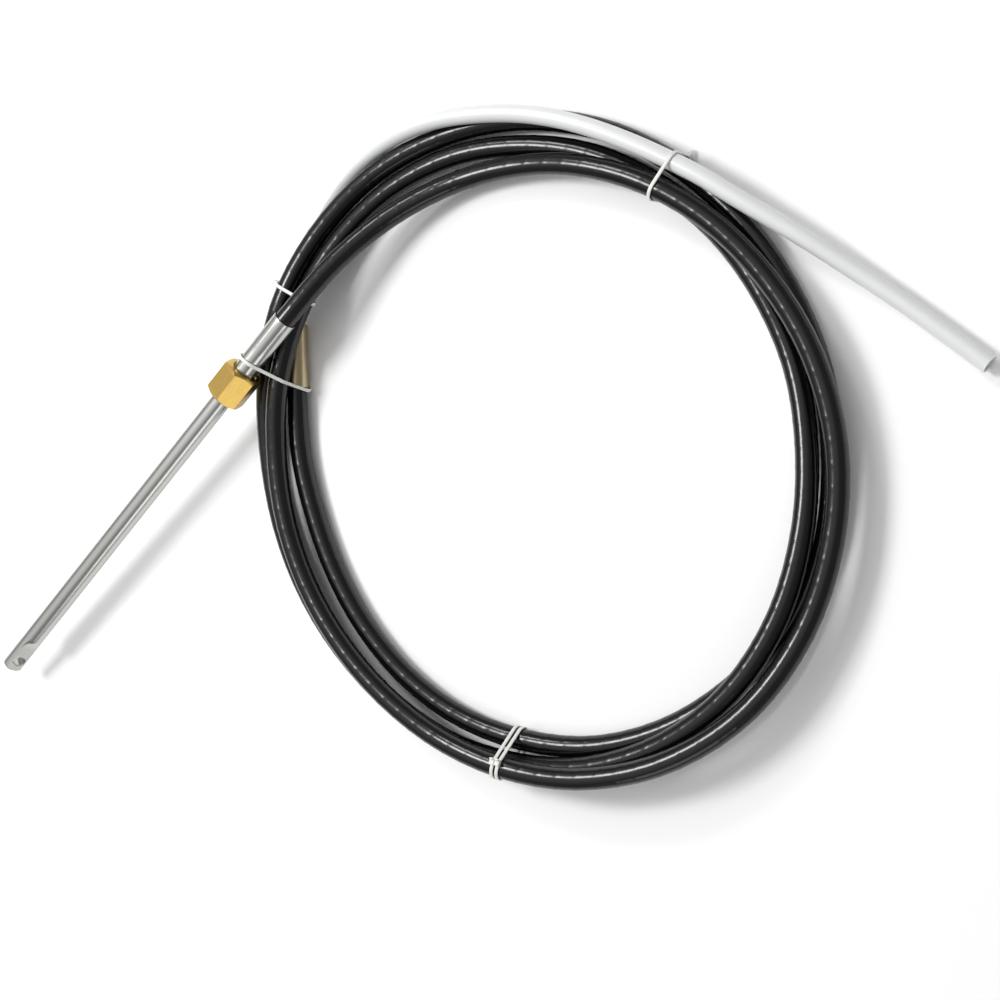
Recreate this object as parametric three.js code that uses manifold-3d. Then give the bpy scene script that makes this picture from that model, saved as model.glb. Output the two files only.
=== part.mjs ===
import * as THREE from 'three';
import { mergeVertices } from 'three/addons/utils/BufferGeometryUtils.js';
import Module from 'manifold-3d';

const wasm = await Module();
wasm.setup();

// Boat steering cable, coiled flat for storage and held by nylon ties.
// Millimetres, +Z up. The coil lies on the floor and turns clockwise seen from above.

// Conduit, the black jacketed cable
const CONDUIT_D = 16;
const CONDUIT_SIDES = 12;

// Coil route: turns of stations, one each STEP degrees clockwise from FIRST degrees.
// A station is the centreline's distance from the coil's centre and its height.
const FIRST = 150;
const STEP = 15;
const TURN_ONE = [
  [202.5, 35], [204, 22], [205.5, 14], [206, 15.5], [207.5, 22], [211, 25.5], [216, 25.5], [222, 24.7],
  [230.5, 25], [238.5, 25.2], [244.5, 25.4], [249.5, 26.8], [251.6, 31.3], [247.3, 35.3], [238.6, 34.4], [229, 28.7],
  [219.5, 25.2], [210.5, 24.7], [205, 23.7], [203, 22.5], [203, 22], [204.5, 22.6], [207, 26.9],
];
const TURN_TWO = [
  [211, 27], [219, 20.5], [226, 12], [226.5, 8], [222, 8], [218, 8], [213.5, 8], [211.5, 8],
  [210.5, 8], [212, 8.5], [215, 13.5], [221.6, 20], [229, 24.2], [234, 25.5], [234.5, 22.7], [232, 18.7],
  [227.5, 11], [223.5, 8], [218, 8], [214.5, 8], [214, 8], [216, 8], [219.8, 9.7], [224, 18.4],
];
const TURN_THREE = [
  [228, 27.5], [236, 22.3], [243.7, 13], [244, 8], [240.8, 8], [236.7, 8], [231.8, 8], [228.6, 8],
  [227.3, 8], [228.8, 8], [231, 8], [234, 8], [234.5, 8], [230, 8], [225.5, 8], [219, 8],
  [210, 8], [202, 8], [194, 8], [187.5, 8], [184, 8], [184.7, 8], [191.3, 8.5],
];

// Output end: ferrule, nut, guide tube and ram on one straight axis
const MOUTH = [-180.7, 100.5, 46.1];
const OUTPUT_HEADING = -136.2;
const OUTPUT_DROOP = 2.5;
const FERRULE_D = 18.3;
const FERRULE_LENGTH = 72;
const FERRULE_SOCKET = 24;
const SHOULDER_D = 20.6;
const SHOULDER_LENGTH = 4;
const CORE_BORE_D = 7;

const NUT_FLATS = 28;
const NUT_LENGTH = 28.5;
const NUT_BEHIND = 18.6;
const NUT_NECK = 6;
const NUT_THREAD_D = 21.4;
const NUT_CHAMFER = 2.4;
const NUT_ROLL = 13.8;

const GUIDE_D = 10.4;
const GUIDE_BORE = 7;
const GUIDE_SEAT = 10;
const STROKE = 229;
const GUIDE_ENGAGED = 30;

const RAM_D = 15.875;
const RAM_BORE = 11.4;
const BORE_SPARE = 7;
const RAM_PLUG = 24;
const EYE_FLAT = 36;
const EYE_THICKNESS = 9.5;
const EYE_HOLE_D = 9.8;
const EYE_INSET = 10.8;
const EYE_ROLL = -63;
const EYE_CORNER = 2;
const RAM_GAP = 1;

// Helm end: plated hub on the conduit's end, with the protective tube and the core
const HUB_FOOT = [-194.7, 51.5, 9.2];
const HUB_HEADING = 91;
const HUB_D = 18.3;
const HUB_LENGTH = 50;
const HUB_SOCKET = 20;
const HUB_CORE_BORE = 9;
const TUBE_D = 13.1;
const TUBE_WALL = 1;
const TUBE_SEAT = 9;
const TUBE_SIDES = 10;
const TUBE_ROUTE = [
  [-194.7, 126, 8], [-190.5, 142, 7.4], [-178.5, 176, 6.8], [-158.5, 203, 7.5], [-131, 224.5, 11],
  [-98, 238, 17.6], [-65.4, 244.5, 21], [-31, 245, 23.3], [3.5, 242, 24], [34, 235.5, 24.2], [63.5, 225.5, 24.2],
  [92, 213, 24.2], [118.5, 199.5, 24], [145, 184.5, 23.4], [170, 168, 21.5], [211.5, 141, 16],
  [244, 118.3, 10.5], [276.2, 95.3, 7.5], [301.9, 75.8, 6.6], [333.7, 51, 6.6],
];
const CORE_D = 8.6;
const CORE_SIDES = 8;
const CORE_SHORT = 28;

// Nylon cable ties
const TIE_WIDTH = 2.6;
const TIE_THICKNESS = 1;
const TIE_HEAD = [5, 3.7, 3.6];
const TIE_TAIL = 3.5;
const TIE_RADIUS = 220;
const TIE_HEIGHT = 20;
const TIE_REACH = 60;
const UNDER_FERRULE = 36;
const FERRULE_TIE_BACK = 9.2;

// Gaps between pieces that touch
const SEAT_GAP = 0.3;
const SLIDE_GAP = 0.25;
const TIE_GAP = 0.4;

const ROUND = 32;

const rad = THREE.MathUtils.degToRad;

const material = {
  jacket: new THREE.MeshStandardMaterial({ color: 0x17181a, roughness: 0.35, metalness: 0 }),
  stainless: new THREE.MeshStandardMaterial({ color: 0xc9c6bd, roughness: 0.25, metalness: 1 }),
  brass: new THREE.MeshStandardMaterial({ color: 0xc9a648, roughness: 0.3, metalness: 1 }),
  zinc: new THREE.MeshStandardMaterial({ color: 0xa8935c, roughness: 0.3, metalness: 1 }),
  sleeve: new THREE.MeshStandardMaterial({ color: 0xd6d7d8, roughness: 0.4, metalness: 0 }),
  wire: new THREE.MeshStandardMaterial({ color: 0x9a9a98, roughness: 0.4, metalness: 1 }),
  nylon: new THREE.MeshStandardMaterial({ color: 0xe9eae4, roughness: 0.45, metalness: 0 }),
};

// A smooth curve that is stepped evenly from station to station, not by length
class StationCurve extends THREE.CatmullRomCurve3 {
  getUtoTmapping(u) {
    return u;
  }
}

// Booleans on closed meshes
function toSolid(geometry) {
  const bare = geometry.clone();
  bare.deleteAttribute('normal');
  bare.deleteAttribute('uv');
  const merged = mergeVertices(bare, 1e-5);
  return new wasm.Manifold(new wasm.Mesh({
    numProp: 3,
    vertProperties: new Float32Array(merged.attributes.position.array),
    triVerts: new Uint32Array(merged.index.array),
  }));
}

function toGeometry(solid) {
  const mesh = solid.getMesh();
  const geometry = new THREE.BufferGeometry();
  geometry.setAttribute('position', new THREE.BufferAttribute(new Float32Array(mesh.vertProperties), 3));
  geometry.setIndex(new THREE.BufferAttribute(new Uint32Array(mesh.triVerts), 1));
  geometry.computeVertexNormals();
  return geometry;
}

function named(name, geometry, finish) {
  const mesh = new THREE.Mesh(geometry, finish);
  mesh.name = name;
  return mesh;
}

// A round piece along +X from a closed profile of [distance along X, radius] points
function turned(profile, segments = ROUND) {
  const points = profile.map(([along, radius]) => new THREE.Vector2(radius, along));
  const geometry = new THREE.LatheGeometry(points, segments);
  geometry.rotateZ(-Math.PI / 2);
  return geometry;
}

function polygon(radius, sides, phase = 0) {
  const points = [];
  for (let i = 0; i < sides; i++) {
    const angle = phase + (2 * Math.PI * i) / sides;
    points.push(new THREE.Vector2(radius * Math.cos(angle), radius * Math.sin(angle)));
  }
  return points;
}

// A tube or rod of flat-sided section along a curve, with one step a station
function swept(curve, diameter, sides, bore = 0) {
  const section = new THREE.Shape(polygon(diameter / 2, sides, Math.PI / sides));
  if (bore > 0) {
    section.holes.push(new THREE.Path(polygon(bore / 2, sides, Math.PI / sides).reverse()));
  }
  return new THREE.ExtrudeGeometry(section, { steps: curve.points.length - 1, extrudePath: curve });
}

// Frames of the two ends: +X of the output end runs to the ram's tip, +X of the hub up to the tube
function outputFrame() {
  const group = new THREE.Group();
  group.position.set(...MOUTH);
  group.rotation.set(0, rad(OUTPUT_DROOP), rad(OUTPUT_HEADING), 'ZYX');
  group.updateMatrixWorld(true);
  return group;
}

function hubFrame() {
  const group = new THREE.Group();
  group.position.set(...HUB_FOOT);
  group.rotation.set(0, 0, rad(HUB_HEADING));
  group.updateMatrixWorld(true);
  return group;
}

const output = outputFrame();
const hub = hubFrame();

function outputPoint(along) {
  return new THREE.Vector3(along, 0, 0).applyMatrix4(output.matrixWorld);
}

function hubPoint(along) {
  return new THREE.Vector3(along, 0, 0).applyMatrix4(hub.matrixWorld);
}

function coilStations() {
  const stations = [];
  const turns = [TURN_ONE, TURN_TWO, TURN_THREE].flat();
  turns.forEach(([radius, height], i) => {
    const angle = rad(FIRST - STEP * (i + 1));
    stations.push(new THREE.Vector3(radius * Math.cos(angle), radius * Math.sin(angle), height));
  });
  return stations;
}

function conduitCurve() {
  return new StationCurve([
    outputPoint(FERRULE_SOCKET - SEAT_GAP),
    outputPoint(0),
    ...coilStations(),
    hubPoint(0),
    hubPoint(HUB_SOCKET - SEAT_GAP),
  ]);
}

function tubeCurve() {
  const seat = HUB_LENGTH - TUBE_SEAT + SEAT_GAP;
  const route = TUBE_ROUTE.map((point) => new THREE.Vector3(...point));
  return new StationCurve([hubPoint(seat), hubPoint(HUB_LENGTH), ...route]);
}

// The core stops short of the tube's cut end
function coreCurve() {
  const tube = tubeCurve();
  const points = tube.points.slice(0, -1);
  const last = tube.points[tube.points.length - 1];
  const before = tube.points[tube.points.length - 2];
  const stretch = last.distanceTo(before);
  points.push(before.clone().lerp(last, (stretch - CORE_SHORT) / stretch));
  return new StationCurve(points);
}

// The ram's bore takes the whole guide tube, and the guide stays engaged at full stroke
const nutStart = FERRULE_LENGTH - NUT_BEHIND;
const ramStart = FERRULE_LENGTH + RAM_GAP;
const guideEnd = ramStart + STROKE + GUIDE_ENGAGED;
const ramEnd = guideEnd + BORE_SPARE + RAM_PLUG + EYE_FLAT;

function ferrule() {
  const outer = FERRULE_D / 2;
  const socket = CONDUIT_D / 2 + SEAT_GAP;
  const guideSocket = GUIDE_D / 2 + SEAT_GAP;
  const bore = CORE_BORE_D / 2;
  const shoulder = nutStart + NUT_NECK + SEAT_GAP;
  return turned([
    [0, socket], [0, outer - 0.5], [0.5, outer], [shoulder, outer], [shoulder, SHOULDER_D / 2],
    [shoulder + SHOULDER_LENGTH, SHOULDER_D / 2], [shoulder + SHOULDER_LENGTH, RAM_D / 2],
    [FERRULE_LENGTH, RAM_D / 2], [FERRULE_LENGTH, guideSocket], [FERRULE_LENGTH - GUIDE_SEAT, guideSocket],
    [FERRULE_LENGTH - GUIDE_SEAT, bore], [FERRULE_SOCKET, bore], [FERRULE_SOCKET, socket], [0, socket],
  ]);
}

// Hexagon nut with chamfered ends, a neck round the ferrule and a threaded cup towards the ram
function couplingNut() {
  const hexagon = new THREE.CylinderGeometry(NUT_FLATS / Math.sqrt(3), NUT_FLATS / Math.sqrt(3), NUT_LENGTH, 6);
  hexagon.rotateZ(-Math.PI / 2);
  hexagon.rotateX(rad(NUT_ROLL - 90));
  hexagon.translate(nutStart + NUT_LENGTH / 2, 0, 0);
  const corner = NUT_FLATS / Math.sqrt(3);
  const face = NUT_FLATS / 2 - NUT_CHAMFER / 3;
  const end = nutStart + NUT_LENGTH;
  const envelope = turned([
    [nutStart, 0], [nutStart, face], [nutStart + NUT_CHAMFER, corner + 1],
    [end - NUT_CHAMFER, corner + 1], [end, face], [end, 0],
  ], 48);
  const neck = FERRULE_D / 2 + SLIDE_GAP;
  const thread = NUT_THREAD_D / 2;
  const bore = turned([
    [nutStart - 1, 0], [nutStart - 1, neck + 1], [nutStart, neck + 1], [nutStart + 1, neck],
    [nutStart + NUT_NECK, neck], [nutStart + NUT_NECK, thread], [end - 1, thread], [end, thread + 1],
    [end + 1, thread + 1], [end + 1, 0],
  ]);
  return toGeometry(toSolid(hexagon).intersect(toSolid(envelope)).subtract(toSolid(bore)));
}

function guideTube() {
  const start = FERRULE_LENGTH - GUIDE_SEAT + SEAT_GAP;
  return turned([
    [start, GUIDE_BORE / 2], [start, GUIDE_D / 2], [guideEnd, GUIDE_D / 2], [guideEnd, GUIDE_BORE / 2],
    [start, GUIDE_BORE / 2],
  ]);
}

// Tubular ram with a blind bore, closed by a solid end that is milled flat for the eye
function ram() {
  const end = ramEnd;
  const outer = RAM_D / 2;
  const bore = RAM_BORE / 2;
  const plug = guideEnd + BORE_SPARE;
  const rod = turned([
    [ramStart, bore], [ramStart, outer - 0.4], [ramStart + 0.4, outer], [end - EYE_CORNER, outer],
    [end - 0.3 * EYE_CORNER, outer - 0.3 * EYE_CORNER], [end, outer - EYE_CORNER], [end, 0], [plug, 0],
    [plug, bore], [ramStart, bore],
  ]);
  let solid = toSolid(rod);
  for (const side of [-1, 1]) {
    const cut = new THREE.BoxGeometry(EYE_FLAT + 2, RAM_D + 2, RAM_D);
    cut.translate(end + 1 - EYE_FLAT / 2, 0, side * (EYE_THICKNESS / 2 + RAM_D / 2));
    cut.rotateX(rad(EYE_ROLL));
    solid = solid.subtract(toSolid(cut));
  }
  const hole = new THREE.CylinderGeometry(EYE_HOLE_D / 2, EYE_HOLE_D / 2, RAM_D, ROUND);
  hole.rotateX(Math.PI / 2);
  hole.translate(end - EYE_INSET, 0, 0);
  hole.rotateX(rad(EYE_ROLL));
  return toGeometry(solid.subtract(toSolid(hole)));
}

function helmHub() {
  const outer = HUB_D / 2;
  const socket = CONDUIT_D / 2 + SEAT_GAP;
  const seat = TUBE_D / 2 + SEAT_GAP;
  const bore = HUB_CORE_BORE / 2;
  return turned([
    [0, socket], [0, outer - 0.5], [0.5, outer], [HUB_LENGTH - 1.5, outer], [HUB_LENGTH, outer - 1.5],
    [HUB_LENGTH, seat], [HUB_LENGTH - TUBE_SEAT, seat], [HUB_LENGTH - TUBE_SEAT, bore],
    [HUB_SOCKET, bore], [HUB_SOCKET, socket], [0, socket],
  ]);
}

// Cable ties. A tie is a belt round the convex outline of what it holds, in a plane across the bundle.
function hull(points) {
  const sorted = [...points].sort((a, b) => a.x - b.x || a.y - b.y);
  const turn = (o, a, b) => (a.x - o.x) * (b.y - o.y) - (a.y - o.y) * (b.x - o.x);
  const half = (list) => {
    const chain = [];
    for (const point of list) {
      while (chain.length > 1 && turn(chain[chain.length - 2], chain[chain.length - 1], point) <= 0) {
        chain.pop();
      }
      chain.push(point);
    }
    chain.pop();
    return chain;
  };
  return [...half(sorted), ...half(sorted.reverse())];
}

// Points of a rod's outline where the plane cuts it, in the plane's own two directions
function sectionPoints(centre, direction, radius, plane, count = 16) {
  const side = new THREE.Vector3().crossVectors(direction, plane.normal.clone().add(plane.across)).normalize();
  const other = new THREE.Vector3().crossVectors(direction, side).normalize();
  const points = [];
  for (let i = 0; i < count; i++) {
    const angle = (2 * Math.PI * i) / count;
    const point = centre.clone()
      .addScaledVector(side, radius * Math.cos(angle))
      .addScaledVector(other, radius * Math.sin(angle));
    const lift = plane.point.clone().sub(point).dot(plane.normal) / direction.dot(plane.normal);
    point.addScaledVector(direction, lift).sub(plane.point);
    points.push(new THREE.Vector2(point.dot(plane.across), point.dot(plane.up)));
  }
  return points;
}

// Where a line of points crosses the plane within reach of the tie
function crossings(line, plane) {
  const found = [];
  for (let i = 1; i < line.length; i++) {
    const a = line[i - 1].clone().sub(plane.point).dot(plane.normal);
    const b = line[i].clone().sub(plane.point).dot(plane.normal);
    if (a * b <= 0 && a !== b) {
      const centre = line[i - 1].clone().lerp(line[i], a / (a - b));
      if (centre.distanceTo(plane.point) < TIE_REACH) {
        found.push({ centre, direction: line[i].clone().sub(line[i - 1]).normalize() });
      }
    }
  }
  return found;
}

// A tie that names a point passes through it, so the one on the ferrule keeps its distance from the nut
function tiePlane(angle, slant, through) {
  const up = new THREE.Vector3(0, 0, 1);
  const across = new THREE.Vector3(Math.cos(rad(angle + slant)), Math.sin(rad(angle + slant)), 0);
  const normal = new THREE.Vector3().crossVectors(across, up);
  const point = new THREE.Vector3(Math.cos(rad(angle)), Math.sin(rad(angle)), 0)
    .multiplyScalar(TIE_RADIUS).setZ(TIE_HEIGHT);
  if (through) point.addScaledVector(normal, through.clone().sub(point).dot(normal));
  return { point, across, up, normal };
}

// Outline of all that a tie holds, taken at the strap's two edges, since rods can cross it at a slant
function bundle(plane, holds, above, grow) {
  const points = [];
  for (const edge of [-TIE_WIDTH / 2, TIE_WIDTH / 2]) {
    const cut = { ...plane, point: plane.point.clone().addScaledVector(plane.normal, edge) };
    for (const { lines, thickness } of holds) {
      for (const line of lines) {
        const held = crossings(line, cut).filter(({ centre }) => centre.z < above);
        for (const { centre, direction } of held) {
          points.push(...sectionPoints(centre, direction, thickness / 2 + grow, cut));
        }
      }
    }
  }
  return hull(points);
}

// The head sits on the belt on the side that its angle names, 0 outwards and 90 up, with the cut tail on it
function tie(name, { angle, holds, head, slant = 0, above = Infinity, through }) {
  const plane = tiePlane(angle, slant, through);
  const outer = bundle(plane, holds, above, TIE_GAP + TIE_THICKNESS);
  const inner = bundle(plane, holds, above, TIE_GAP);
  const belt = new THREE.Shape(outer);
  belt.holes.push(new THREE.Path(inner.reverse()));
  const strap = new THREE.ExtrudeGeometry(belt, { steps: 1, depth: TIE_WIDTH, bevelEnabled: false });
  strap.translate(0, 0, -TIE_WIDTH / 2);
  const facing = new THREE.Vector2(Math.cos(rad(head)), Math.sin(rad(head)));
  const seat = outer.reduce((best, point) => (point.dot(facing) > best.dot(facing) ? point : best));
  const [length, width, rise] = TIE_HEAD;
  const block = new THREE.BoxGeometry(rise, length, width);
  block.translate((rise - TIE_THICKNESS) / 2, 0, 0);
  const tail = new THREE.BoxGeometry(TIE_TAIL, TIE_THICKNESS, TIE_WIDTH);
  tail.translate(rise - TIE_THICKNESS + TIE_TAIL / 2, length / 4, 0);
  const lock = toGeometry(toSolid(block).add(toSolid(tail)));
  lock.rotateZ(rad(head));
  lock.translate(seat.x, seat.y, 0);
  const geometry = toGeometry(toSolid(strap).add(toSolid(lock)));
  const basis = new THREE.Matrix4().makeBasis(plane.across, plane.up, plane.normal).setPosition(plane.point);
  geometry.applyMatrix4(basis);
  return named(name, geometry, material.nylon);
}

const cable = new THREE.Group();

const conduit = conduitCurve();
const tube = tubeCurve();
const core = coreCurve();

cable.add(named('conduit', swept(conduit, CONDUIT_D, CONDUIT_SIDES), material.jacket));
cable.add(named('protective_tube', swept(tube, TUBE_D, TUBE_SIDES, TUBE_D - 2 * TUBE_WALL), material.sleeve));
cable.add(named('core', swept(core, CORE_D, CORE_SIDES), material.wire));

output.add(named('ferrule', ferrule(), material.stainless));
output.add(named('coupling_nut', couplingNut(), material.brass));
output.add(named('guide_tube', guideTube(), material.stainless));
output.add(named('ram', ram(), material.stainless));
hub.add(named('helm_hub', helmHub(), material.zinc));
cable.add(output, hub);

// Both the flat-sided centreline and the smooth one count, so that a belt clears the two
function lines(curve) {
  return [curve.points, curve.getPoints((curve.points.length - 1) * 8)];
}

const conduitHeld = { lines: lines(conduit), thickness: CONDUIT_D };
const tubeHeld = { lines: lines(tube), thickness: TUBE_D };
const ferruleHeld = { lines: [[outputPoint(0), outputPoint(nutStart)]], thickness: FERRULE_D };
const hubHeld = { lines: [[hubPoint(0), hubPoint(HUB_LENGTH)]], thickness: HUB_D };
const all = [conduitHeld, tubeHeld];

cable.add(tie('tie_upper_left', { angle: 146.4, slant: 4, holds: all, head: 8, above: UNDER_FERRULE }));
cable.add(tie('tie_ferrule', {
  angle: 162.1, slant: -18, holds: [conduitHeld, ferruleHeld, hubHeld], head: -12,
  through: outputPoint(nutStart - FERRULE_TIE_BACK),
}));
cable.add(tie('tie_upper_right', { angle: 58, holds: all, head: -30 }));
cable.add(tie('tie_bottom_left', { angle: -92.1, slant: -11.5, holds: all, head: 114 }));
cable.add(tie('tie_bottom_right', { angle: -90.95, slant: -13, holds: all, head: 114 }));

// The part's origin is the middle of its base
const box = new THREE.Box3().setFromObject(cable);
const middle = box.getCenter(new THREE.Vector3());
cable.position.set(-middle.x, -middle.y, -box.min.z);

export default cable;
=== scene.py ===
"""Boat steering cable, coiled and tied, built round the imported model.

Lengths are millimetres until a mesh is made, and the coil's own frame has its origin under the
middle of the coil. All shapes are worked out with numpy as grids of points.
"""

import bpy
import numpy as np
from mathutils import Matrix, Vector


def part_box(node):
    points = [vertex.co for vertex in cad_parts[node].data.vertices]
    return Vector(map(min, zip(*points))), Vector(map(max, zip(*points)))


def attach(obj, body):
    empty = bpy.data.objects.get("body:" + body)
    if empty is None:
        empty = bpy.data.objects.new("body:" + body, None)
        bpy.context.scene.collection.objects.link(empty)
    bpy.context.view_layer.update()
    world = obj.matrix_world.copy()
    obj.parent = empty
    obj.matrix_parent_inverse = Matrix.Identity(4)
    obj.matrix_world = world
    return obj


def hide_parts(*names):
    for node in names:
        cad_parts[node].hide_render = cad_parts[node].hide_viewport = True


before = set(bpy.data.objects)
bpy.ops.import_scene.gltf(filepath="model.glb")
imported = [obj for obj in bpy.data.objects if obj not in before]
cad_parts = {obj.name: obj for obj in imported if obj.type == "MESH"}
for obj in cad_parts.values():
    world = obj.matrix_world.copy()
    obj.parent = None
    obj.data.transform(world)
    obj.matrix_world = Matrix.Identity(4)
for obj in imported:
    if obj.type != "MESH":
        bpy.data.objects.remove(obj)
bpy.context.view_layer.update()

MM = 0.001
TAU = 2 * np.pi

# Conduit
CONDUIT_D = 16.0
CONDUIT_SIDES = 28
CONDUIT_SPACING = 1.3
RIDGE_PITCH = 15.75
RIDGE_HEIGHT = 0.13
RIDGE_WIDTH = 1.1

# Coil route: distance from the coil's centre and height, each STEP degrees clockwise from FIRST
FIRST = 150
STEP = 15
TURN_ONE = [
    (202.5, 35), (204, 22), (205.5, 14), (206, 15.5), (207.5, 22), (211, 25.5), (216, 25.5), (222, 24.7),
    (230.5, 25), (238.5, 25.2), (244.5, 25.4), (249.5, 26.8), (251.6, 31.3), (247.3, 35.3), (238.6, 34.4),
    (229, 28.7), (219.5, 25.2), (210.5, 24.7), (205, 23.7), (203, 22.5), (203, 22), (204.5, 22.6),
    (207, 26.9),
]
TURN_TWO = [
    (211, 27), (219, 20.5), (226, 12), (226.5, 8), (222, 8), (218, 8), (213.5, 8), (211.5, 8),
    (210.5, 8), (212, 8.5), (215, 13.5), (221.6, 20), (229, 24.2), (234, 25.5), (234.5, 22.7), (232, 18.7),
    (227.5, 11), (223.5, 8), (218, 8), (214.5, 8), (214, 8), (216, 8), (219.8, 9.7), (224, 18.4),
]
TURN_THREE = [
    (228, 27.5), (236, 22.3), (243.7, 13), (244, 8), (240.8, 8), (236.7, 8), (231.8, 8), (228.6, 8),
    (227.3, 8), (228.8, 8), (231, 8), (234, 8), (234.5, 8), (230, 8), (225.5, 8), (219, 8),
    (210, 8), (202, 8), (194, 8), (187.5, 8), (184, 8), (184.7, 8), (191.3, 8.5),
]

# Fits and edges
SEAT_GAP = 0.3
EDGE_ROUND = 0.5

# Output end
MOUTH = (-180.7, 100.5, 46.1)
OUTPUT_HEADING = -136.2
OUTPUT_DROOP = 2.5
FERRULE_D = 18.3
FERRULE_LENGTH = 72
FERRULE_SOCKET = 24
SHOULDER_D = 20.6
SHOULDER_LENGTH = 4
CORE_BORE_D = 7
GUIDE_SOCKET_D = 11
GUIDE_SOCKET = 10
SOCKET_PLAY = 0.35
SWAGE_RIDGES = 8
SWAGE_HEIGHT = 0.14
SWAGE_WIDTH = 0.09
SWAGE_BAND = (4, 30)
NUT_FLATS = 28
NUT_LENGTH = 28.5
NUT_BEHIND = 18.6
NUT_START = FERRULE_LENGTH - NUT_BEHIND
NUT_NECK = 6
NUT_THREAD_D = 21.4
NUT_CHAMFER = 2.4
NUT_ROLL = 13.8
NUT_NECK_PLAY = 0.25
THREAD_PITCH = 1.8
THREAD_DEPTH = 0.8
RAM_D = 15.875
RAM_BORE = 11.4
RAM_GAP = 1
RAM_START = FERRULE_LENGTH + RAM_GAP
STROKE = 229
GUIDE_ENGAGED = 30
BORE_SPARE = 7
RAM_PLUG = 24
EYE_FLAT = 36
RAM_LENGTH = STROKE + GUIDE_ENGAGED + BORE_SPARE + RAM_PLUG + EYE_FLAT
EYE_THICKNESS = 9.5
EYE_HOLE_D = 9.8
EYE_INSET = 10.8
EYE_ROLL = -63
EYE_CORNER = 2
EYE_RAMP = 5
EYE_SINK = (0.4, 0.35)
DRILL_REACH = 9

# Helm end
HUB_FOOT = (-194.7, 51.5, 9.2)
HUB_HEADING = 91
HUB_D = 18.3
HUB_LENGTH = 50
HUB_SOCKET = 20
HUB_CORE_BORE_D = 9
HUB_CHAMFER = 1.5
TUBE_PLAY = 0.3
TUBE_D = 13.1
TUBE_WALL = 1.0
TUBE_SEAT = 9
TUBE_ROUTE = [
    (-194.7, 126, 8), (-190.5, 142, 7.4), (-178.5, 176, 6.8), (-158.5, 203, 7.5), (-131, 224.5, 11),
    (-98, 238, 17.6), (-65.4, 244.5, 21), (-31, 245, 23.3), (3.5, 242, 24), (34, 235.5, 24.2),
    (63.5, 225.5, 24.2), (92, 213, 24.2), (118.5, 199.5, 24), (145, 184.5, 23.4), (170, 168, 21.5),
    (211.5, 141, 16), (244, 118.3, 10.5), (276.2, 95.3, 7.5), (301.9, 75.8, 6.6), (333.7, 51, 6.6),
]
CORE_D = 8.6
CORE_SHORT = 28

# Cable ties
TIE_WIDTH = 2.6
TIE_THICKNESS = 1.0
TIE_HEAD = (5, 3.7, 3.6)
TIE_TAIL = 3.5
TIE_BEVEL = 0.3
TIE_HEAD_CORNER = 0.9
TIE_GAP = 0.3
TIE_RADIUS = 220
TIE_HEIGHT = 20
TIE_REACH = 60
UNDER_FERRULE = 36
FERRULE_TIE_BACK = 9.2

# Camera in the coil's frame
CAMERA = (554.7, -35.7, 1131.6)
CAMERA_LEAN = 27
LENS = 61.96


def turn_z(degrees):
    """Rotation about Z as a 3 by 3 matrix."""
    c, s = np.cos(np.radians(degrees)), np.sin(np.radians(degrees))
    return np.array([[c, -s, 0], [s, c, 0], [0, 0, 1.0]])


def turn_y(degrees):
    """Rotation about Y as a 3 by 3 matrix."""
    c, s = np.cos(np.radians(degrees)), np.sin(np.radians(degrees))
    return np.array([[c, 0, s], [0, 1.0, 0], [-s, 0, c]])


def turn_x(degrees):
    """Rotation about X as a 3 by 3 matrix."""
    c, s = np.cos(np.radians(degrees)), np.sin(np.radians(degrees))
    return np.array([[1.0, 0, 0], [0, c, -s], [0, s, c]])


OUTPUT_TURN = turn_z(OUTPUT_HEADING) @ turn_y(OUTPUT_DROOP)
HUB_TURN = turn_z(HUB_HEADING)


def output_point(points):
    """Points of the ferrule, nut and ram, whose +X runs to the ram's tip, in the coil's frame."""
    return np.asarray(points, float) @ OUTPUT_TURN.T + MOUTH


def hub_point(points):
    """Points of the hub, whose +X runs to the protective tube, in the coil's frame."""
    return np.asarray(points, float) @ HUB_TURN.T + HUB_FOOT


hub_low, hub_high = (np.array(corner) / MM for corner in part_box("helm_hub"))
SHIFT = (hub_low + hub_high) / 2 - hub_point([HUB_LENGTH / 2, 0, 0])


def place(points):
    """From millimetres in the coil's frame to metres in the part's frame."""
    return (np.asarray(points, float) + SHIFT) * MM


# Camera

def add_camera():
    """A camera set over towards +X that looks down and back at the coil, with its up along +Y."""
    data = bpy.data.cameras.new("camera")
    data.lens = LENS
    data.sensor_width = 36
    data.clip_end = 100
    camera = bpy.data.objects.new("camera", data)
    lean = Matrix.Rotation(np.radians(CAMERA_LEAN), 4, "Y")
    camera.matrix_world = Matrix.Translation(Vector(place(CAMERA))) @ lean
    bpy.context.scene.collection.objects.link(camera)
    bpy.context.scene.camera = camera


add_camera()


# Centrelines

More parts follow.
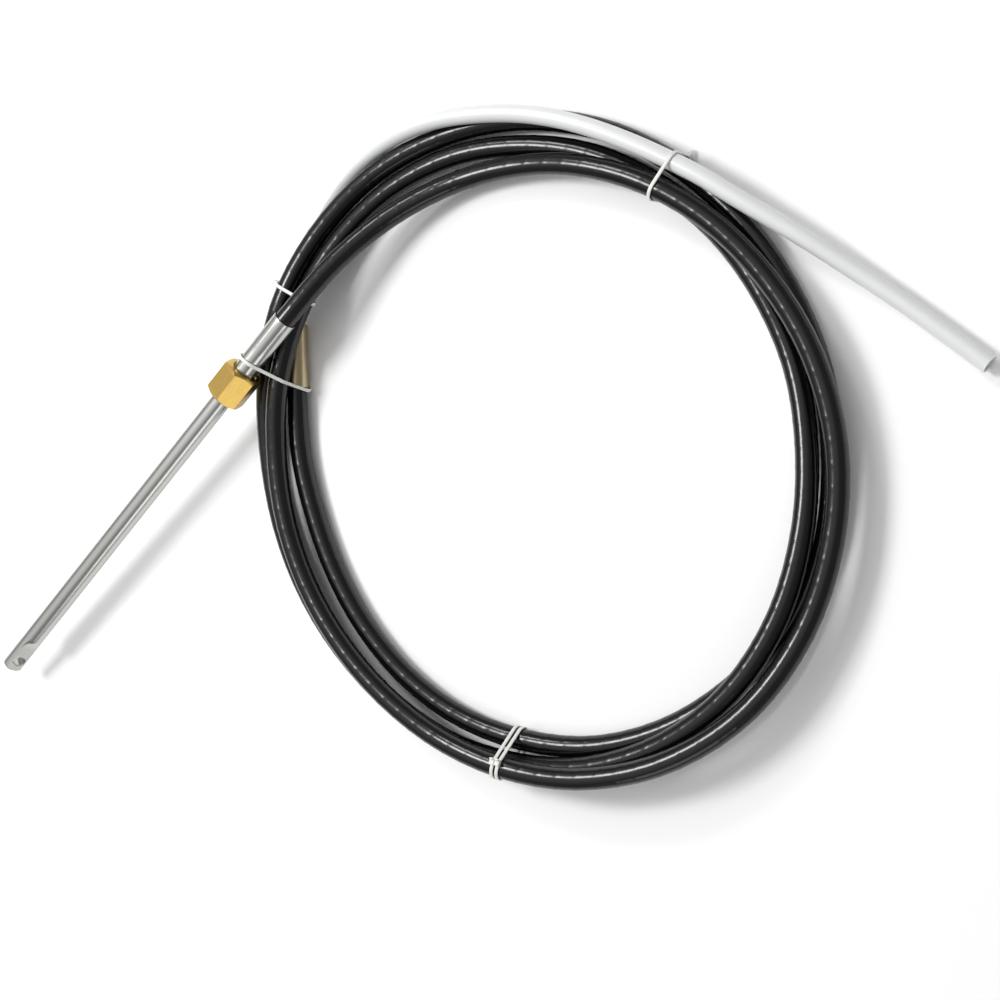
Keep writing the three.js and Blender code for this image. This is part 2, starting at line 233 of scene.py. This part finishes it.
def centripetal(points, per_step):
    """A centripetal Catmull-Rom curve through the points, per_step samples for each stretch.

    Each stretch is a cubic whose end slopes come from the neighbouring chords, weighted by the
    square roots of their lengths. The neighbour past an end is that end's own chord again.
    """
    p = np.asarray(points, float)
    p = np.vstack([2 * p[0] - p[1], p, 2 * p[-1] - p[-2]])
    a, b, c, d = p[:-3, None], p[1:-2, None], p[2:-1, None], p[3:, None]
    gap = np.sqrt(np.linalg.norm(np.diff(p, axis=0), axis=1))[:, None, None]
    g0, g1, g2 = gap[:-2], gap[1:-1], gap[2:]
    slope_b = ((b - a) / g0 - (c - a) / (g0 + g1) + (c - b) / g1) * g1
    slope_c = ((c - b) / g1 - (d - b) / (g1 + g2) + (d - c) / g2) * g1
    t = (np.arange(per_step) / per_step)[None, :, None]
    curve = (b + slope_b * t + (3 * (c - b) - 2 * slope_b - slope_c) * t ** 2
             + (2 * (b - c) + slope_b + slope_c) * t ** 3)
    return np.vstack([curve.reshape(-1, 3), p[-2]])


def along(points):
    """Distance from the first point to each point of a line."""
    return np.concatenate([[0], np.cumsum(np.linalg.norm(np.diff(points, axis=0), axis=1))])


def evenly(points, spacing):
    """The same line with points an even distance apart, about the spacing given."""
    s = along(points)
    new = np.linspace(0, s[-1], int(round(s[-1] / spacing)) + 1)
    return np.stack([np.interp(new, s, points[:, k]) for k in range(3)], axis=1)


def coil_stations():
    """The coil's stations turned from distance, angle and height to points."""
    table = np.array(TURN_ONE + TURN_TWO + TURN_THREE, float)
    angle = np.radians(FIRST - STEP * (np.arange(len(table)) + 1))
    return np.stack([table[:, 0] * np.cos(angle), table[:, 0] * np.sin(angle), table[:, 1]], axis=1)


CONDUIT_LINE = centripetal(np.vstack([
    output_point([[FERRULE_SOCKET - SEAT_GAP, 0, 0], [0, 0, 0]]), coil_stations(),
    hub_point([[0, 0, 0], [HUB_SOCKET - SEAT_GAP, 0, 0]])]), 40)
TUBE_LINE = centripetal(np.vstack([
    hub_point([[HUB_LENGTH - TUBE_SEAT + SEAT_GAP, 0, 0], [HUB_LENGTH, 0, 0]]), TUBE_ROUTE]), 30)


# Meshes

def path_frames(line):
    """Level sideways and upward directions square to a line's direction, at each of its points."""
    forward = np.gradient(line, axis=0)
    forward /= np.linalg.norm(forward, axis=1, keepdims=True)
    side = np.cross(forward, [0, 0, 1.0])
    side /= np.linalg.norm(side, axis=1, keepdims=True)
    return side, np.cross(side, forward)


def swept(line, radius, sides):
    """Rings round a line: centre + radius * (cos a * sideways + sin a * upwards).

    radius is a number, or a function of the distance along the line and the angle.
    """
    s = along(line)[:, None]
    angle = (np.arange(sides) * TAU / sides)[None, :]
    r = radius(s, angle) if callable(radius) else np.full((len(line), sides), float(radius))
    side, up = path_frames(line)
    rings = (line[:, None] + (r * np.cos(angle))[..., None] * side[:, None]
             + (r * np.sin(angle))[..., None] * up[:, None])
    return {"rings": rings, "v": np.repeat(s, sides + 1, axis=1), "around": TAU * np.mean(r)}


def revolved(profile, sides, radius=None):
    """A closed profile of (distance along X, radius) points carried round the X axis.

    radius, where given, is a function of distance, the profile's radius and the angle.
    """
    profile = np.asarray(profile, float)
    x, r = profile[:, :1], profile[:, 1:]
    angle = (np.arange(sides) * TAU / sides)[None, :]
    r = radius(x, r, angle) if radius else np.repeat(r, sides, axis=1)
    rings = np.stack([np.repeat(x, sides, axis=1), r * np.cos(angle), r * np.sin(angle)], axis=-1)
    return {"rings": rings, "v": np.repeat(x, sides + 1, axis=1), "around": TAU * np.max(r),
            "closed": True}


def softened(profile, size, steps=3):
    """A closed profile with each corner cut by a small arc, a parabola between points at that distance."""
    p = np.asarray(profile, float)
    before, after = np.roll(p, 1, axis=0) - p, np.roll(p, -1, axis=0) - p
    reach_b = np.linalg.norm(before, axis=1, keepdims=True)
    reach_a = np.linalg.norm(after, axis=1, keepdims=True)
    start = p + before / reach_b * np.minimum(size, 0.4 * reach_b)
    stop = p + after / reach_a * np.minimum(size, 0.4 * reach_a)
    t = np.linspace(0, 1, steps + 1)[None, :, None]
    arc = (1 - t) ** 2 * start[:, None] + 2 * t * (1 - t) * p[:, None] + t ** 2 * stop[:, None]
    return arc.reshape(-1, 2)


def split(profile, spacing):
    """A closed profile with points added so that none are further apart than the spacing."""
    p = np.vstack([profile, profile[:1]])
    s = along(p)
    new = [np.linspace(a, b, max(2, int(np.ceil((b - a) / spacing)) + 1))[:-1]
           for a, b in zip(s[:-1], s[1:])]
    new = np.concatenate(new)
    return np.stack([np.interp(new, s, p[:, k]) for k in range(2)], axis=1)


def grid_faces(shape, closed):
    """Corner indices of the quads between rings, and the (ring, place) of each corner for its UV."""
    rows, cols = shape
    i, j = np.meshgrid(np.arange(rows if closed else rows - 1), np.arange(cols), indexing="ij")
    i, j = i.ravel(), j.ravel()
    corner_i = np.stack([i, i, i + 1, i + 1], axis=1)
    corner_j = np.stack([j, j + 1, j + 1, j], axis=1)
    return (corner_i % rows) * cols + corner_j % cols, corner_i, corner_j


def solid(name, grids, material, body, stands_for=(), smooth=40):
    """One object of closed grids of rings. An open row of rings gets a flat cap at each end.

    UVs are millimetres, round a ring and along the piece. Faces are turned outwards by volume.
    """
    points, loops, starts, uvs, total, corners = [], [], [], [], 0, 0
    for grid in grids:
        rings = grid["rings"]
        rows, cols = rings.shape[:2]
        closed = grid.get("closed", False)
        faces, ci, cj = grid_faces((rows, cols), closed)
        flat = rings.reshape(-1, 3)
        tri = flat[faces[:, [0, 1, 2]]]
        tri_b = flat[faces[:, [0, 2, 3]]]
        volume = np.einsum("ij,ij->i", tri[:, 0], np.cross(tri[:, 1], tri[:, 2])).sum()
        volume += np.einsum("ij,ij->i", tri_b[:, 0], np.cross(tri_b[:, 1], tri_b[:, 2])).sum()
        around = grid.get("around", 1.0)
        v = grid.get("v")
        v = np.zeros((rows, cols + 1)) if v is None else v
        v = np.vstack([v, v[:1]])
        uv = np.stack([cj / cols * around, v[ci, cj]], axis=-1)
        caps = []
        if not closed:
            caps = [np.arange(cols)[::-1], (rows - 1) * cols + np.arange(cols)]
            for k, cap in enumerate(caps):
                middle = flat[cap].mean(axis=0)
                fan = flat[cap]
                volume += np.einsum("ij,ij->i", np.repeat(middle[None], cols, 0),
                                    np.cross(fan, np.roll(fan, -1, axis=0))).sum()
        if volume < 0:
            faces, uv = faces[:, ::-1], uv[:, ::-1]
            caps = [cap[::-1] for cap in caps]
        pieces = [faces.reshape(-1)] + caps
        sizes = [4] * len(faces) + [cols] * len(caps)
        starts.append(corners + np.concatenate([[0], np.cumsum(sizes)[:-1]]))
        loops.append(np.concatenate(pieces) + total)
        uvs.append(np.vstack([uv.reshape(-1, 2)] + [np.zeros((cols, 2))] * len(caps)))
        points.append(flat)
        total += len(flat)
        corners += sum(sizes)
    mesh = bpy.data.meshes.new(name)
    mesh.vertices.add(total)
    mesh.vertices.foreach_set("co", place(np.vstack(points)).astype(np.float32).ravel())
    loops, starts, uvs = np.concatenate(loops), np.concatenate(starts), np.vstack(uvs)
    mesh.loops.add(len(loops))
    mesh.loops.foreach_set("vertex_index", loops.astype(np.int32))
    mesh.polygons.add(len(starts))
    mesh.polygons.foreach_set("loop_start", starts.astype(np.int32))
    mesh.polygons.foreach_set("use_smooth", np.ones(len(starts), bool))
    mesh.update(calc_edges=True)
    mesh.validate()
    layer = mesh.uv_layers.new(name="millimetres")
    layer.data.foreach_set("uv", uvs.astype(np.float32).ravel())
    mesh.set_sharp_from_angle(angle=np.radians(smooth))
    return dress(bpy.data.objects.new(name, mesh), material, body, stands_for)


def dress(obj, material, body, stands_for=()):
    """Links a finished piece, gives it its material and slot, and lets it ride on its body."""
    if obj.name not in bpy.context.scene.collection.objects:
        bpy.context.scene.collection.objects.link(obj)
    obj.data.materials.clear()
    obj.data.materials.append(material)
    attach(obj, body)
    if stands_for:
        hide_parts(*stands_for)
    return obj


def moved(grid, mapping):
    """The same grid of rings with its points carried through a mapping."""
    return {**grid, "rings": mapping(grid["rings"])}


# Materials

def linear(code):
    """An sRGB hex value such as 0x202122 as linear RGBA."""
    channel = np.array([code >> 16 & 255, code >> 8 & 255, code & 255]) / 255
    low, high = channel / 12.92, ((channel + 0.055) / 1.055) ** 2.4
    return (*np.where(channel <= 0.04045, low, high).tolist(), 1.0)


def add(tree, kind, settings=None, **links):
    """A node of that kind with its settings and its inputs, each a value or another node's output."""
    node = tree.nodes.new(kind)
    for key, value in (settings or {}).items():
        setattr(node, key, value)
    for key, value in links.items():
        by_place = key[0] == "i" and key[1:].isdigit()
        socket = node.inputs[int(key[1:]) if by_place else key.replace("_", " ")]
        if isinstance(value, bpy.types.NodeSocket):
            tree.links.new(value, socket)
        else:
            socket.default_value = value
    return node


def finish_of(name, **values):
    """A new material with a Principled shader. Returns the material, its tree and the shader."""
    material = bpy.data.materials.new(name)
    material.use_nodes = True
    tree = material.node_tree
    shader = tree.nodes["Principled BSDF"]
    for key, value in values.items():
        shader.inputs[key.replace("_", " ")].default_value = value
    return material, tree, shader


def bumped(tree, shader, height, distance, strength=1.0):
    """Drives the shader's normal by a height in the given distance in metres."""
    bump = add(tree, "ShaderNodeBump", Height=height, Distance=distance, Strength=strength)
    tree.links.new(bump.outputs["Normal"], shader.inputs["Normal"])


def jacket_material():
    """Extruded black polyethylene: nearly black and glossy, so the lamps draw long bright lines along it.

    Scuffs about 6 mm across vary its roughness.
    """
    material, tree, shader = finish_of("extruded_black_polyethylene", Base_Color=linear(0x0A0A0B),
                                       Roughness=0.22, IOR=1.45)
    place_on = add(tree, "ShaderNodeTexCoord").outputs["Object"]
    scuff = add(tree, "ShaderNodeTexNoise", Vector=place_on, Scale=1 / 0.006, Detail=3.0)
    rough = add(tree, "ShaderNodeMapRange", Value=scuff.outputs["Fac"], i3=0.15, i4=0.26)
    tree.links.new(rough.outputs["Result"], shader.inputs["Roughness"])
    return material


def streaked_metal(name, colour, rough, across, bump):
    """A metal drawn or turned in one direction: fine streaks that run along the piece."""
    material, tree, shader = finish_of(name, Base_Color=linear(colour), Metallic=1.0, Roughness=rough)
    uv = add(tree, "ShaderNodeTexCoord").outputs["UV"]
    stretched = add(tree, "ShaderNodeMapping", Vector=uv, Scale=(1 / across[0], 1 / across[1], 1))
    streak = add(tree, "ShaderNodeTexNoise", Vector=stretched.outputs["Vector"], Scale=1.0, Detail=4.0)
    lift = add(tree, "ShaderNodeMapRange", Value=streak.outputs["Fac"], i3=rough - 0.06, i4=rough + 0.1)
    tree.links.new(lift.outputs["Result"], shader.inputs["Roughness"])
    bumped(tree, shader, streak.outputs["Fac"], bump)
    return material


def sleeve_material():
    """Natural polyethylene: milky white, and lets a little light through."""
    material, tree, shader = finish_of("natural_polyethylene", Base_Color=linear(0xF4F5F5),
                                       Roughness=0.3, IOR=1.5)
    shader.inputs["Transmission Weight"].default_value = 0.25
    return material


def nylon_material():
    """Natural nylon: off-white, a little waxy."""
    material, tree, shader = finish_of("natural_nylon", Base_Color=linear(0xDDDED8), Roughness=0.42, IOR=1.53)
    shader.inputs["Subsurface Weight"].default_value = 0.15
    shader.inputs["Subsurface Radius"].default_value = (0.001, 0.001, 0.001)
    return material


JACKET = jacket_material()
STAINLESS = streaked_metal("polished_stainless_steel", 0xB9BAB6, 0.22, (0.35, 40), 0.00002)
BRASS = streaked_metal("turned_brass", 0xC8A75C, 0.27, (0.6, 14), 0.00003)
ZINC = streaked_metal("yellow_zinc_plate", 0xB3A485, 0.3, (0.6, 25), 0.00002)
SLEEVE = sleeve_material()
NYLON = nylon_material()
WIRE = finish_of("oiled_steel_wire", Base_Color=linear(0x8E8E8C), Metallic=1.0, Roughness=0.45)[0]


# Conduit, protective tube and core

def ridged(s, angle):
    """Conduit radius: half the diameter plus a low screw ridge, a bell curve of the distance to it.

    CONDUIT_D / 2 + RIDGE_HEIGHT * exp(-(off / RIDGE_WIDTH)^2 / 2), where off is that distance.
    """
    off = (s - RIDGE_PITCH * angle / TAU) % RIDGE_PITCH
    off = np.minimum(off, RIDGE_PITCH - off)
    return CONDUIT_D / 2 + RIDGE_HEIGHT * np.exp(-0.5 * (off / RIDGE_WIDTH) ** 2)


def make_conduit():
    """The jacketed cable along the whole coil."""
    line = evenly(CONDUIT_LINE, CONDUIT_SPACING)
    conduit = solid("cable_conduit", [swept(line, ridged, CONDUIT_SIDES)], JACKET, "cable",
                    ["conduit"], smooth=80)


def make_tube():
    """The protective tube, an outer and an inner skin joined at both ends."""
    line = evenly(TUBE_LINE, 4)
    outer = swept(line, TUBE_D / 2, 32)
    inner = swept(line, TUBE_D / 2 - TUBE_WALL, 32)
    skin = {"rings": np.vstack([outer["rings"], inner["rings"][::-1]]),
            "v": np.vstack([outer["v"], inner["v"][::-1]]), "around": outer["around"], "closed": True}
    tube = solid("tube_sleeve", [skin], SLEEVE, "cable", ["protective_tube"])


def make_core():
    """The sliding core, which ends short of the tube's cut end."""
    line = evenly(TUBE_LINE, 3)
    line = line[along(line) < along(line)[-1] - CORE_SHORT]
    solid("tube_core", [swept(line, CORE_D / 2, 20)], WIRE, "cable", ["core"])


# Output end

def swaged(x, r, angle):
    """Ferrule radius: the profile's, with low lengthwise ridges left by the swaging jaws.

    Each ridge is a bell curve of the angle, and fades in and out along X as a pair of logistic steps.
    """
    ridge = np.exp(-0.5 * ((np.mod(angle * SWAGE_RIDGES / TAU + 0.5, 1) - 0.5) / SWAGE_WIDTH) ** 2)
    first, last = SWAGE_BAND
    band = 1 / (1 + np.exp(-(x - first) / 0.8)) - 1 / (1 + np.exp(-(x - last) / 1.5))
    return r + SWAGE_HEIGHT * ridge * band * (r > FERRULE_D / 2 - 0.1)


def make_ferrule():
    """The swaged stainless ferrule, with the conduit's socket, the nut's shoulder and the guide's socket."""
    outer, socket = FERRULE_D / 2, CONDUIT_D / 2 + SOCKET_PLAY
    bore, guide = CORE_BORE_D / 2, GUIDE_SOCKET_D / 2
    shoulder = NUT_START + NUT_NECK + SEAT_GAP
    profile = [(0, socket), (0, outer), (shoulder, outer), (shoulder, SHOULDER_D / 2),
               (shoulder + SHOULDER_LENGTH, SHOULDER_D / 2), (shoulder + SHOULDER_LENGTH, RAM_D / 2),
               (FERRULE_LENGTH, RAM_D / 2), (FERRULE_LENGTH, guide), (FERRULE_LENGTH - GUIDE_SOCKET, guide),
               (FERRULE_LENGTH - GUIDE_SOCKET, bore), (FERRULE_SOCKET, bore), (FERRULE_SOCKET, socket)]
    grid = revolved(split(softened(profile, EDGE_ROUND), 2.5), 128, swaged)
    solid("ferrule_body", [moved(grid, output_point)], STAINLESS, "cable", ["ferrule"])


def hexagon(angle):
    """Distance from the axis to the flats of a hexagon whose corner lies at angle 0."""
    return NUT_FLATS / 2 / np.cos(np.mod(angle, TAU / 6) - TAU / 12)


def make_nut():
    """The brass coupling nut: flats cut by a cone at both ends, and a threaded cup inside."""
    start, end = NUT_START, NUT_START + NUT_LENGTH
    neck, thread = FERRULE_D / 2 + NUT_NECK_PLAY, NUT_THREAD_D / 2
    big = NUT_FLATS
    face = NUT_FLATS / 2 - NUT_CHAMFER / 3
    corner = NUT_FLATS / np.sqrt(3)
    profile = [(start, neck + 1), (start, face), (start + NUT_CHAMFER, corner + 1),
               (start + NUT_CHAMFER, big), (end - NUT_CHAMFER, big), (end - NUT_CHAMFER, corner + 1),
               (end, face), (end, thread + 1),
               (end - 1, thread), (start + NUT_NECK, thread), (start + NUT_NECK, neck), (start + 1, neck)]
    profile = split(np.array(profile, float), 0.35)

    def shape(x, r, angle):
        """The smaller of profile and hexagon outside, and a screw thread in the cup."""
        outside = np.minimum(r, hexagon(angle - np.radians(NUT_ROLL)))
        turn = (x / THREAD_PITCH + angle / TAU) % 1
        depth = THREAD_DEPTH * np.abs(turn - 0.5) * 2 * (np.abs(r - thread) < 0.02)
        return outside - depth

    grid = revolved(profile, 180, shape)
    solid("nut_body", [moved(grid, output_point)], BRASS, "coupling_nut", ["coupling_nut"],
          smooth=25)


def rolled(points, degrees):
    """Points turned about X."""
    return points @ turn_x(degrees).T


def make_ram():
    """The tubular ram. Its end is milled on two sides: height is cut at half the eye's thickness."""
    start, end = RAM_START, RAM_START + RAM_LENGTH
    outer, bore = RAM_D / 2, RAM_BORE / 2
    plug = end - EYE_FLAT - RAM_PLUG
    profile = [(start, bore), (start, outer), (end - EYE_CORNER, outer), (end, outer - EYE_CORNER),
               (end, 0.01), (plug, 0.01), (plug, bore)]
    grid = revolved(split(softened(profile, EDGE_ROUND), 3.0), 96)
    rings = grid["rings"]
    x = rings[..., 0]
    run = np.clip((x - (end - EYE_FLAT)) / EYE_RAMP, 0, 1)
    limit = outer + (EYE_THICKNESS / 2 - outer) * run * run * (3 - 2 * run)
    rings[..., 2] = np.clip(rings[..., 2], -limit, limit)
    ram = solid("ram_rod", [moved(grid, lambda q: output_point(rolled(q, EYE_ROLL)))], STAINLESS,
                "ram", ["ram"])
    radius = EYE_HOLE_D / 2
    half = EYE_THICKNESS / 2
    deep, wide = EYE_SINK
    profile = [(-DRILL_REACH, 0.01), (-DRILL_REACH, radius + 4), (-half, radius + wide),
               (-half + deep, radius), (half - deep, radius), (half, radius + wide),
               (DRILL_REACH, radius + 4), (DRILL_REACH, 0.01)]
    drill = revolved(profile, 64)
    across = np.array([[0, 0, 1.0], [0, 1.0, 0], [-1.0, 0, 0]])
    drill = moved(drill, lambda q: output_point(rolled(q @ across + [end - EYE_INSET, 0, 0], EYE_ROLL)))
    cutter = solid("ram_drill", [drill], STAINLESS, "ram")
    cut = ram.modifiers.new("eye", "BOOLEAN")
    cut.object = cutter
    cut.operation = "DIFFERENCE"
    cut.solver = "EXACT"
    result = bpy.data.meshes.new_from_object(ram.evaluated_get(bpy.context.evaluated_depsgraph_get()))
    ram.modifiers.clear()
    ram.data = result
    bpy.data.objects.remove(cutter)


def make_hub():
    """The zinc plated hub at the conduit's helm end."""
    outer, socket = HUB_D / 2, CONDUIT_D / 2 + SOCKET_PLAY
    seat, bore = TUBE_D / 2 + TUBE_PLAY, HUB_CORE_BORE_D / 2
    profile = [(0, socket), (0, outer), (HUB_LENGTH - HUB_CHAMFER, outer), (HUB_LENGTH, outer - HUB_CHAMFER),
               (HUB_LENGTH, seat), (HUB_LENGTH - TUBE_SEAT, seat),
               (HUB_LENGTH - TUBE_SEAT, bore), (HUB_SOCKET, bore), (HUB_SOCKET, socket)]
    grid = revolved(split(softened(profile, EDGE_ROUND), 4.0), 96)
    solid("hub_body", [moved(grid, hub_point)], ZINC, "cable", ["helm_hub"])


# Cable ties

def hull(points):
    """Convex outline of points in a plane, in order, by two monotone chains."""
    points = sorted(map(tuple, points))

    def half(seq):
        chain = []
        for q in seq:
            while len(chain) > 1:
                (ax, ay), (bx, by) = chain[-2], chain[-1]
                if (bx - ax) * (q[1] - ay) - (by - ay) * (q[0] - ax) > 0:
                    break
                chain.pop()
            chain.append(q)
        return chain[:-1]

    return np.array(half(points) + half(points[::-1]))


def held_outline(plane, rods, above, grow):
    """Convex outline, in a tie's plane, of the rods that it holds, taken at the strap's two edges."""
    point, across, up, normal = plane
    found = []
    for edge in (-TIE_WIDTH / 2, TIE_WIDTH / 2):
        origin = point + normal * edge
        for line, diameter in rods:
            off = (line - origin) @ normal
            for k in np.nonzero(off[:-1] * off[1:] <= 0)[0]:
                centre = line[k] + (line[k + 1] - line[k]) * off[k] / (off[k] - off[k + 1])
                if np.linalg.norm(centre - origin) > TIE_REACH or centre[2] > above:
                    continue
                way = line[k + 1] - line[k]
                way = way / np.linalg.norm(way)
                side = np.cross(way, normal + across)
                side /= np.linalg.norm(side)
                other = np.cross(way, side)
                a = np.arange(32)[:, None] * TAU / 32
                ring = centre + (diameter / 2 + grow) * (np.cos(a) * side + np.sin(a) * other)
                ring += way * (((origin - ring) @ normal) / (way @ normal))[:, None]
                found.append(np.stack([(ring - origin) @ across, (ring - origin) @ up], axis=1))
    return hull(np.vstack(found))


def rounded_block(size, corner):
    """Rings of a rounded rectangle in Y and Z, stacked along X and drawn in at both ends."""
    a = (np.arange(32) + 0.5) * TAU / 32
    half = np.array(size) / 2
    ring = np.stack([np.cos(a), np.sin(a)], axis=1) * corner
    ring += np.sign(ring) * (half[1:] - corner)
    steps = [(-1, 0.8), (-1, 0.93), (-0.93, 1), (0.93, 1), (1, 0.93), (1, 0.8)]
    rings = np.array([[(x * half[0], y * k, z * k) for y, z in ring] for x, k in steps])
    return {"rings": rings}


def make_tie(node, angle, rods, head, slant=0, above=1e9, through=None):
    """A tie: a strap round the outline of what it holds, its head, and the cut tail.

    Its plane passes through the point, where one is given.
    """
    up = np.array([0, 0, 1.0])
    across = turn_z(angle + slant) @ [1.0, 0, 0]
    normal = np.cross(across, up)
    point = turn_z(angle) @ [TIE_RADIUS, 0, 0] + up * TIE_HEIGHT
    if through is not None:
        point = point + normal * ((through - point) @ normal)
    plane = (point, across, up, normal)
    outline = held_outline(plane, rods, above, TIE_GAP + TIE_THICKNESS / 2)
    loop = np.vstack([outline, outline[:1]])
    s = along(loop)
    new = np.linspace(0, s[-1], 161)[:-1]
    loop = np.stack([np.interp(new, s, loop[:, k]) for k in range(2)], axis=1)
    way = np.roll(loop, -1, axis=0) - np.roll(loop, 1, axis=0)
    way /= np.linalg.norm(way, axis=1, keepdims=True)
    out = np.stack([way[:, 1], -way[:, 0]], axis=1)
    a = (np.arange(12) + 0.5) * TAU / 12
    w, t = TIE_WIDTH / 2, TIE_THICKNESS / 2
    section = np.stack([np.cos(a), np.sin(a)], axis=1) * TIE_BEVEL
    section += np.sign(section) * np.array([w - TIE_BEVEL, t - TIE_BEVEL])

    def in_plane(flat, depth):
        """Points of the tie's plane and their depth across it, in the coil's frame."""
        return point + flat[..., :1] * across + flat[..., 1:] * up + depth[..., None] * normal

    flat = loop[:, None] + out[:, None] * section[None, :, 1:]
    strap = in_plane(flat, np.repeat(section[None, :, 0], len(loop), axis=0))
    facing = np.array([np.cos(np.radians(head)), np.sin(np.radians(head))])
    seat = loop[np.argmax(loop @ facing)] + facing * TIE_THICKNESS / 2
    length, width, rise = TIE_HEAD
    sideways = np.array([-facing[1], facing[0]])

    def on_seat(grid, shift, lift):
        """A block in the head's own directions: X outwards, Y along the strap, Z across it."""
        q = grid["rings"]
        flat = seat + (q[..., :1] + lift) * facing + (q[..., 1:2] + shift) * sideways
        return {**grid, "rings": in_plane(flat, q[..., 2])}

    block = on_seat(rounded_block((rise, length, width), TIE_HEAD_CORNER), 0, (rise - TIE_THICKNESS) / 2)
    tail = on_seat(rounded_block((TIE_TAIL, TIE_THICKNESS, TIE_WIDTH), TIE_BEVEL), length / 4,
                   rise - TIE_THICKNESS + TIE_TAIL / 2)
    solid(node + "_strap", [{"rings": strap, "closed": True}, block, tail], NYLON, "cable", [node])


def make_ties():
    """The five ties. A tie's angle is its place round the coil, as in the CAD source."""
    conduit = (CONDUIT_LINE, CONDUIT_D + 2 * RIDGE_HEIGHT)
    tube = (TUBE_LINE, TUBE_D)
    barrel = (output_point([[0, 0, 0], [NUT_START, 0, 0]]), FERRULE_D)
    hub = (hub_point([[0, 0, 0], [HUB_LENGTH, 0, 0]]), HUB_D)
    both = [conduit, tube]
    make_tie("tie_upper_left", 146.4, both, 8, slant=4, above=UNDER_FERRULE)
    make_tie("tie_ferrule", 162.1, [conduit, barrel, hub], -12, slant=-18,
             through=output_point([NUT_START - FERRULE_TIE_BACK, 0, 0]))
    make_tie("tie_upper_right", 58, both, -30)
    make_tie("tie_bottom_left", -92.1, both, 114, slant=-11.5)
    make_tie("tie_bottom_right", -90.95, both, 114, slant=-13)


make_conduit()
make_tube()
make_core()
make_ferrule()
make_nut()
make_ram()
make_hub()
make_ties()
DRAWN = finish_of("drawn_stainless_tube", Base_Color=linear(0xC4C2BD), Metallic=1.0, Roughness=0.25)[0]
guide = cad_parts["guide_tube"]
guide.data.materials.clear()
guide.data.materials.append(DRAWN)


# Studio

def add_floor():
    """A wide pale floor."""
    mesh = bpy.data.meshes.new("floor")
    mesh.from_pydata([(-6, -6, 0), (6, -6, 0), (6, 6, 0), (-6, 6, 0)], [], [(0, 1, 2, 3)])
    floor = bpy.data.objects.new("floor", mesh)
    bpy.context.scene.collection.objects.link(floor)
    mesh.materials.append(finish_of("white_paper", Base_Color=linear(0xFBFBFB), Roughness=0.9)[0])


def add_lamp(name, at, size, power):
    """A rectangular lamp at a point in metres, aimed at the part's origin."""
    data = bpy.data.lights.new(name, "AREA")
    data.shape = "RECTANGLE"
    data.size, data.size_y = size
    data.energy = power
    lamp = bpy.data.objects.new(name, data)
    at = Vector(at)
    lamp.matrix_world = Matrix.Translation(at) @ at.to_track_quat("Z", "Y").to_matrix().to_4x4()
    bpy.context.scene.collection.objects.link(lamp)


def add_light():
    """A dim surround with a broad glow above the far left, two small softboxes and a low front card."""
    world = bpy.data.worlds.new("studio")
    bpy.context.scene.world = world
    world.use_nodes = True
    tree = world.node_tree
    way = add(tree, "ShaderNodeTexCoord").outputs["Generated"]
    near = add(tree, "ShaderNodeVectorMath", {"operation": "DOT_PRODUCT"}, i0=way, i1=(-0.35, 0.15, 0.92))
    glow = add(tree, "ShaderNodeMapRange", {"interpolation_type": "SMOOTHSTEP"}, Value=near.outputs["Value"],
               i1=0.5, i2=1.0, i3=0.3, i4=1.05)
    tree.links.new(glow.outputs["Result"], tree.nodes["Background"].inputs["Strength"])
    tree.nodes["Background"].inputs["Color"].default_value = (1, 1, 1, 1)
    add_lamp("softbox", (-0.72, 0.35, 1.4), (0.4, 0.45), 15)
    add_lamp("far_softbox", (-0.55, 1.3, 1.35), (0.45, 0.3), 7)
    add_lamp("front_card", (0.3, -1.5, 0.65), (0.9, 0.6), 3)
    bpy.context.scene.view_settings.view_transform = "Standard"


add_floor()
add_light()
